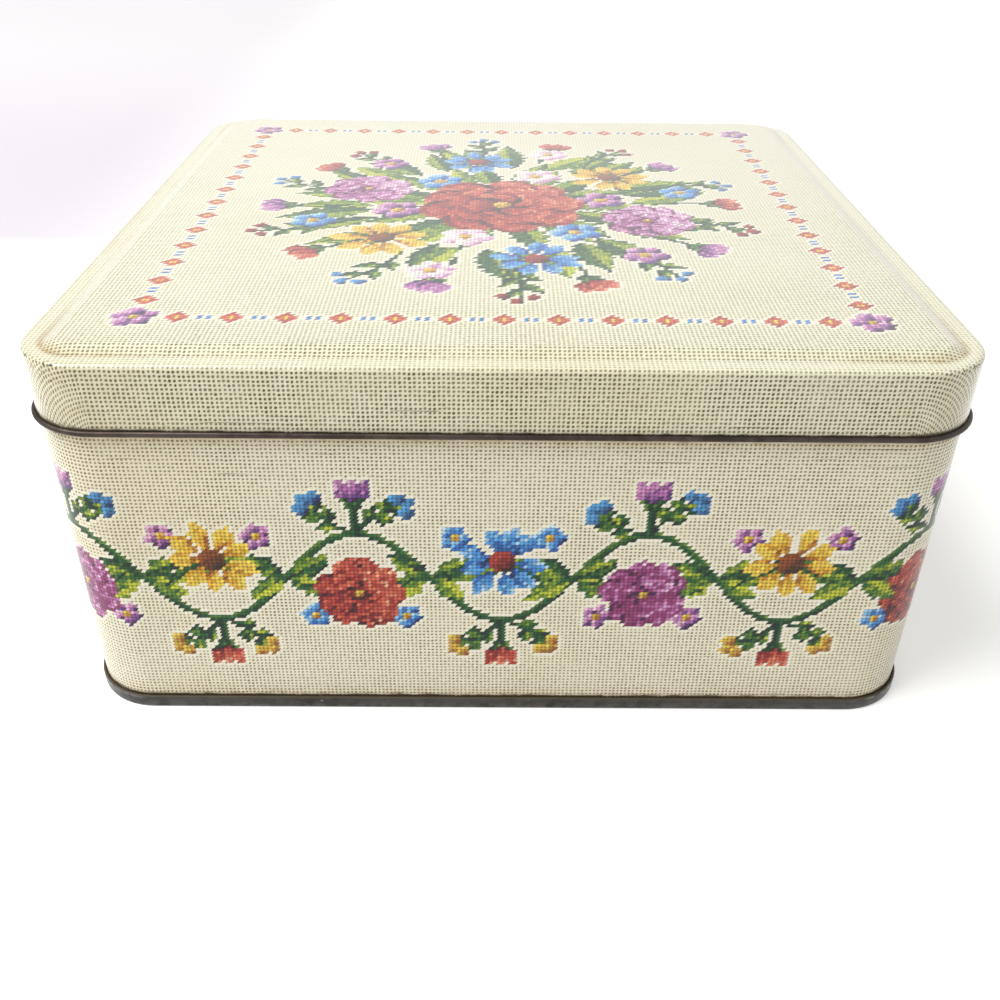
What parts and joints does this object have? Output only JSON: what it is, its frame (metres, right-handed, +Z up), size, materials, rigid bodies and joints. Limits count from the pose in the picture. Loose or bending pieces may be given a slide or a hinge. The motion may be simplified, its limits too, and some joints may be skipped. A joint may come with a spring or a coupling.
{
  "type": "tin box",
  "caption": "Low square storage tin with rounded corners, a loose slip-on lid with a raised top panel and rolled lower bead, and a double-seamed bottom; printed like stitched canvas",
  "frame": {"origin": "middle of the underside, on the surface that the tin stands on", "axes": "+Z up, the pictured front wall faces -Y, +X to the right of someone facing that wall"},
  "size_m": [0.2032, 0.2032, 0.093],
  "materials": {
    "printed_tinplate": "lithographed tinplate under a thin satin varnish, bare metal at the cut edges",
    "plain_tinplate": "unprinted tinplate, dulled and darkened with age"
  },
  "bodies": {
    "tin_body": {"body_wall": "printed_tinplate", "bottom_plate": "plain_tinplate"},
    "lid": {"lid": "printed_tinplate"}
  },
  "joints": [
    {"name": "lid_lift", "type": "slide", "parent": "tin_body", "child": "lid", "axis": [0, 0, 1], "range_m": [0, 0.06]}
  ]
}
